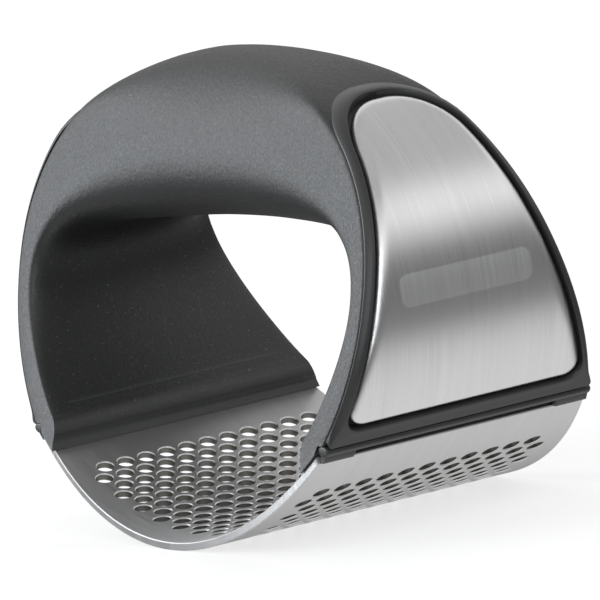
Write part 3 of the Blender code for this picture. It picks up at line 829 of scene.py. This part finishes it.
def hole_centres():
    """(arc, y) of each hole, staggered row by row, with a hole at the middle of the plate."""
    edge_arc = PLATE_EDGE_ANGLE * PLATE_INNER_RADIUS
    rows = math.floor((edge_arc - FIELD_SIDE_MARGIN) / ROW_PITCH)
    last_row_angle = rows * ROW_PITCH / PLATE_INNER_RADIUS
    half_steps = math.floor(2 * (plate_half_length(last_row_angle) - FIELD_END_MARGIN) / HOLE_PITCH)
    centres = []
    for row in range(-rows, rows + 1):
        for step in range(-half_steps, half_steps + 1):
            if (step - row) % 2 == 0:
                centres.append((row * ROW_PITCH, step * HOLE_PITCH / 2))
    return rows, centres


def rolled(arc, y, depth):
    """A point of the flat sheet rolled up, this far below its outer face."""
    x, z = plate_point(arc / PLATE_INNER_RADIUS, PLATE_RADIUS - depth)
    return Vector((x, y, z))


def outward(arc):
    """Direction out of the plate's outer face, and the one along its arc."""
    angle = arc / PLATE_INNER_RADIUS
    return Vector((math.sin(angle), 0, -math.cos(angle))), Vector((math.cos(angle), 0, math.sin(angle)))


class PlateMesh:
    """Collects the plate's points, faces and the exact normal of each face corner."""

    def __init__(self):
        self.points, self.faces, self.normals, self.in_hole = [], [], [], []
        self.hole = 0.0

    def add_points(self, flat, depth):
        start = len(self.points)
        self.points += [rolled(arc, y, depth) for arc, y in flat]
        return list(range(start, len(self.points)))

    def add_face(self, corners, normals):
        """A face whose corners are turned, if need be, to face along its normals."""
        a, b, c = (self.points[index] for index in corners[:3])
        if (b - a).cross(c - a).dot(sum(normals, Vector())) < 0:
            corners, normals = corners[::-1], normals[::-1]
        self.faces.append(tuple(corners))
        self.in_hole.append(self.hole)
        self.normals += [tuple(normal) for normal in normals]

    def add_wall(self, upper, lower, normals):
        """Quads between two loops of points, with one normal for each place along them."""
        count = len(upper)
        for index in range(count):
            after = (index + 1) % count
            corners = [upper[index], upper[after], lower[after], lower[index]]
            self.add_face(corners, [normals[index], normals[after], normals[after], normals[index]])

    def add_edge(self, rims, flat, depth, directions, outs, hole=0.0):
        """The wall through the sheet between its outer and inner rim, with its edges broken this deep."""
        rim_outer, rim_inner = rims
        wall_outer = self.add_points(flat, depth)
        wall_inner = self.add_points(flat, PLATE_THICKNESS - depth)
        self.add_wall(rim_outer, wall_outer, [(way + out).normalized() for way, out in zip(directions, outs)])
        self.hole = hole
        self.add_wall(wall_outer, wall_inner, directions)
        self.hole = 0.0
        self.add_wall(wall_inner, rim_inner, [(way - out).normalized() for way, out in zip(directions, outs)])


def plate_outline(inset):
    """(arc, y) points round the flat sheet, this far inside its edge."""
    edge_arc = PLATE_EDGE_ANGLE * PLATE_INNER_RADIUS - inset
    steps = PLATE_OUTLINE_STEPS
    arcs = [edge_arc * step / steps for step in range(-steps, steps + 1)]
    lengths = [plate_half_length(arc / PLATE_INNER_RADIUS) - inset for arc in arcs]
    return list(zip(arcs, [-length for length in lengths])) + list(zip(arcs[::-1], lengths[::-1]))


def loop_directions(outline):
    """Outward directions, in the flat sheet, at the points of its outline."""
    found = []
    for index, point in enumerate(outline):
        before, after = outline[index - 1], outline[(index + 1) % len(outline)]
        along = Vector((after[0] - before[0], after[1] - before[1])).normalized()
        found.append((along.y, -along.x))
    return found


def loop_edges(start, count):
    return [(start + index, start + (index + 1) % count) for index in range(count)]


def flat_sheet(rows, centres):
    """Points of the flat sheet's outline and hole rims, and the edges that its triangles keep.

    In the plain margins beyond the holes, edges run straight across from one end of the plate to the other.
    """
    points = plate_outline(PLATE_EDGE_BREAK)
    count = len(points)
    edges = loop_edges(0, count)
    field_arc = (rows + PLAIN_MARGIN_START) * ROW_PITCH
    for index in range(1, count // 2 - 1):
        if abs(points[index][0]) > field_arc and index % 2:
            edges.append((index, count - 1 - index))
    for arc, y in centres:
        edges += loop_edges(len(points), HOLE_SIDES)
        for across, along in HOLE_CIRCLE:
            points.append((arc + HOLE_RIM_RADIUS * across, y + HOLE_RIM_RADIUS * along))
    return points, edges


def flat_triangles(points, edges, centres):
    """The sheet's corners, its triangles outside the holes, and where each point is among the corners."""
    scale = 1 / MM
    scaled = [Vector((arc * scale, y * scale)) for arc, y in points]
    found, _, triangles, origins_of, *_ = delaunay_2d_cdt(scaled, edges, [], 1, FLAT_MERGE_DISTANCE, True)
    corners = [(point.x / scale, point.y / scale) for point in found]
    place_of = {origin: index for index, origins in enumerate(origins_of) for origin in origins}
    in_row = {}
    for arc, y in centres:
        in_row.setdefault(round(arc / ROW_PITCH), []).append(y)
    kept = []
    for triangle in triangles:
        arc = sum(corners[index][0] for index in triangle) / 3
        y = sum(corners[index][1] for index in triangle) / 3
        row = round(arc / ROW_PITCH)
        off_row = arc - row * ROW_PITCH
        if all(math.hypot(off_row, y - middle) > HOLE_RIM_RADIUS for middle in in_row.get(row, ())):
            kept.append(triangle)
    return corners, kept, place_of


def add_outline_edge(build, rims):
    outline = plate_outline(0.0)
    directions = [
        outward(arc)[1] * flat_x + Vector((0, flat_y, 0))
        for (arc, _), (flat_x, flat_y) in zip(outline, loop_directions(outline))
    ]
    build.add_edge(rims, outline, PLATE_EDGE_BREAK, directions, [outward(arc)[0] for arc, _ in outline])


def add_hole(build, rims, arc, y):
    out, along_arc = outward(arc)
    inwards = [-(along_arc * across + Vector((0, along, 0))) for across, along in HOLE_CIRCLE]
    wall = [(arc + HOLE_RADIUS * across, y + HOLE_RADIUS * along) for across, along in HOLE_CIRCLE]
    build.add_edge(rims, wall, HOLE_RIM_DEPTH, inwards, [out] * HOLE_SIDES, hole=1.0)


def make_plate(material):
    """The perforated plate, with round holes, a broken edge on each rim and along its outline."""
    build = PlateMesh()
    rows, centres = hole_centres()
    points, edges = flat_sheet(rows, centres)
    corners, triangles, place_of = flat_triangles(points, edges, centres)
    outer = build.add_points(corners, 0.0)
    inner = build.add_points(corners, PLATE_THICKNESS)
    out_normals = [outward(arc)[0] for arc, _ in corners]
    for triangle in triangles:
        build.add_face([outer[index] for index in triangle], [out_normals[index] for index in triangle])
        build.add_face([inner[index] for index in triangle], [-out_normals[index] for index in triangle])

    def rims_between(first, last):
        places = [place_of[index] for index in range(first, last)]
        return [outer[place] for place in places], [inner[place] for place in places]

    first_rim = len(points) - len(centres) * HOLE_SIDES
    add_outline_edge(build, rims_between(0, first_rim))
    for number, (arc, y) in enumerate(centres):
        start = first_rim + number * HOLE_SIDES
        add_hole(build, rims_between(start, start + HOLE_SIDES), arc, y)

    mesh = bpy.data.meshes.new("plate")
    mesh.from_pydata(build.points, [], build.faces)
    mesh.shade_smooth()
    mesh.normals_split_custom_set(build.normals)
    # in_hole marks the hole walls, whose darker colour in the steel material is painted shade.
    mesh.attributes.new("in_hole", "FLOAT", "FACE").data.foreach_set("value", build.in_hole)
    return finish_piece(link("perforated_plate", mesh), material, "plate_steel", "crushing_plate")


# ---- Studio ----

CAMERA_AZIMUTH = math.radians(63.8)
CAMERA_ELEVATION = math.radians(6.7)
CAMERA_ROLL = math.radians(-10.18)
CAMERA_DISTANCE = 1.493
CAMERA_TARGET = Vector((0.005, -0.0003, 0.0331))
CAMERA_LENS = 593.6

# Name, azimuth and elevation in degrees, distance, size and power of each softbox
SOFTBOXES = (
    ("sheen_softbox", -52, 10, 0.9, (0.6, 0.5), 3.7),
    ("edge_softbox", 36, 8, 0.9, (0.42, 0.6), 2.0),
)  # fmt: skip
SOFTBOX_TARGET = Vector((0, 0, 0.035))
SOFTBOX_COLOUR = (0.91, 0.955, 1.0)
FLOOR_HALF_SIZE = 4.0
FLOOR_GLOW = 0.62


def look_basis(azimuth, elevation, roll):
    """Rotation of a camera that looks from this azimuth and elevation, turned about its own axis."""
    level = math.cos(elevation)
    back = Vector((math.sin(azimuth) * level, -math.cos(azimuth) * level, math.sin(elevation)))
    right = Vector((math.cos(azimuth), math.sin(azimuth), 0))
    up = back.cross(right)
    turned_right = right * math.cos(roll) + up * math.sin(roll)
    turned_up = up * math.cos(roll) - right * math.sin(roll)
    return Matrix((turned_right, turned_up, back)).transposed(), back


def make_camera():
    camera = bpy.data.cameras.new("camera")
    camera.lens = CAMERA_LENS
    camera.sensor_width = 36
    camera.clip_end = 50
    obj = bpy.data.objects.new("camera", camera)
    basis, back = look_basis(CAMERA_AZIMUTH, CAMERA_ELEVATION, CAMERA_ROLL)
    obj.matrix_world = Matrix.Translation(CAMERA_TARGET + back * CAMERA_DISTANCE) @ basis.to_4x4()
    bpy.context.scene.collection.objects.link(obj)
    bpy.context.scene.camera = obj


def area_light(name, azimuth, elevation, distance, size, power):
    """A softbox that faces the press from this azimuth and elevation, in degrees."""
    light = bpy.data.lights.new(name, "AREA")
    light.shape = "RECTANGLE"
    light.size, light.size_y = size
    light.energy = power
    light.color = SOFTBOX_COLOUR
    obj = bpy.data.objects.new(name, light)
    basis, back = look_basis(math.radians(azimuth), math.radians(elevation), 0.0)
    obj.matrix_world = Matrix.Translation(SOFTBOX_TARGET + back * distance) @ basis.to_4x4()
    bpy.context.scene.collection.objects.link(obj)


# The studio that the steel mirrors: height of the direction, from -1 straight down to 1 straight up, and
# brightness there
STUDIO = (
    (-1.0, 0.84), (-0.82, 0.82), (-0.66, 0.70), (-0.47, 0.24), (-0.12, 0.17), (0.10, 0.24), (0.28, 0.62),
    (0.50, 1.05), (0.66, 0.95), (0.84, 0.42), (1.0, 0.55),
)  # fmt: skip


def make_world():
    """A plain light room to the camera, with a gradient for the steel to mirror."""
    world = bpy.data.worlds.new("studio")
    bpy.context.scene.world = world
    world.use_nodes = True
    world.node_tree.nodes.clear()
    nodes = Nodes(world.node_tree, "Generated")
    up = nodes.add("ShaderNodeSeparateXYZ", {"Vector": nodes.position}).outputs["Z"]
    brightest = max(value for _, value in STUDIO)
    stops = [((height + 1) / 2, grey(value / brightest)) for height, value in STUDIO]
    colour = nodes.ramp(nodes.remap(up, 0.0, 1.0, -1.0, 1.0), *stops)
    mirrored = nodes.add("ShaderNodeBackground", {"Color": colour, "Strength": brightest}).outputs[0]
    plain_light = nodes.add("ShaderNodeBackground").outputs[0]
    to_camera = nodes.add("ShaderNodeLightPath").outputs["Is Camera Ray"]
    room = nodes.add("ShaderNodeMixShader", {0: to_camera, 1: mirrored, 2: plain_light}).outputs[0]
    nodes.add("ShaderNodeOutputWorld", {"Surface": room})


def make_floor():
    """A glowing white floor that takes the press's shadow and is neither mirrored nor lights the press."""
    size = FLOOR_HALF_SIZE
    corners = [Vector((x * size, y * size, 0)) for x, y in ((-1, -1), (1, -1), (1, 1), (-1, 1))]
    floor = link("floor", mesh_from("floor", corners, [(0, 1, 2, 3)]))
    nodes = SurfaceNodes("floor_white")
    cloud = nodes.noise(6, 2.0)
    nodes.plug(Base_Color=nodes.ramp(cloud, (0.3, grey(0.50)), (0.7, grey(0.52))), Roughness=0.9)
    nodes.plug(Emission_Color=(1.0, 1.0, 1.0, 1.0), Emission_Strength=FLOOR_GLOW)
    floor.data.materials.append(nodes.material)
    floor.visible_glossy = False
    floor.visible_diffuse = False


def make_studio():
    make_camera()
    make_world()
    make_floor()
    for softbox in SOFTBOXES:
        area_light(*softbox)
    scene = bpy.context.scene
    scene.view_settings.view_transform = "Standard"
    scene.view_settings.look = "None"


# ---- The whole press ----

grip_plastic = textured_plastic()
black_plastic = smooth_plastic()
panel_steel = brushed_steel("panel_steel", 0.78, (45, 5200, 45), 0.31, 2e-6, emblem=True)
plate_steel = brushed_steel("plate_steel", 0.70, (70, 6500, 70), 0.42, 3e-6)
core_plastic = plain("core_plastic", grey(0.02), 0.5, 0.0, 120)
adhesive = plain("adhesive_film", (0.75, 0.74, 0.70), 0.7, 0.0, 200)
zinc = plain("zinc_plate", grey(0.6, 0.02), 0.36, 1.0, 500)

make_grip(grip_plastic)
for label, side in (("right", 1), ("left", -1)):
    make_frame(label, side, black_plastic)
    make_panel(label, side, panel_steel)
    make_strip(label, side, black_plastic)
make_plate(plate_steel)
hidden_materials = {"handle_core": core_plastic, "adhesive_pad": adhesive, "frame_screw": zinc}
for name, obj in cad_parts.items():
    for start_of_name, material in hidden_materials.items():
        if name.startswith(start_of_name):
            obj.data.materials.clear()
            obj.data.materials.append(material)
make_studio()
